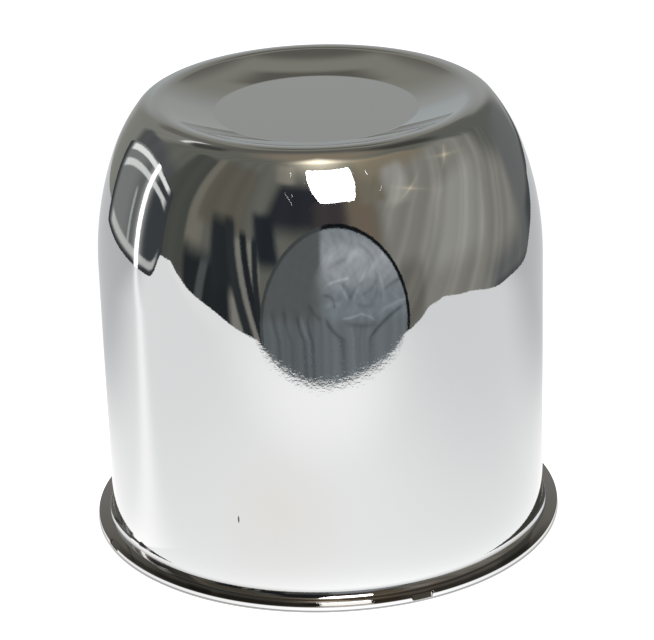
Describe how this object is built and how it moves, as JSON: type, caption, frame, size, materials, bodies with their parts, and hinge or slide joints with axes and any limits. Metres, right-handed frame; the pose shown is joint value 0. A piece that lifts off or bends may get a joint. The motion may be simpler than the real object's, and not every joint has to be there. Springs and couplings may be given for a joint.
{
  "type": "push-through center cap",
  "caption": "Chrome-plated sheet-steel cup cap with a straight wall, a domed end with a flat recessed disc, and a thin stop flange round its open end.",
  "frame": {"origin": "centre of the flange's underside, in the plane the cap stands on", "axes": "+Z along the cap's axis from the open flanged end to the domed end; the picture looks along +Y and down"},
  "size_m": [0.0866, 0.0866, 0.0813],
  "materials": {
    "chrome": "bright polished chrome plate on drawn steel, smooth outside and a little duller inside"
  },
  "bodies": {
    "root": {"center_cap": "chrome"}
  },
  "joints": []
}
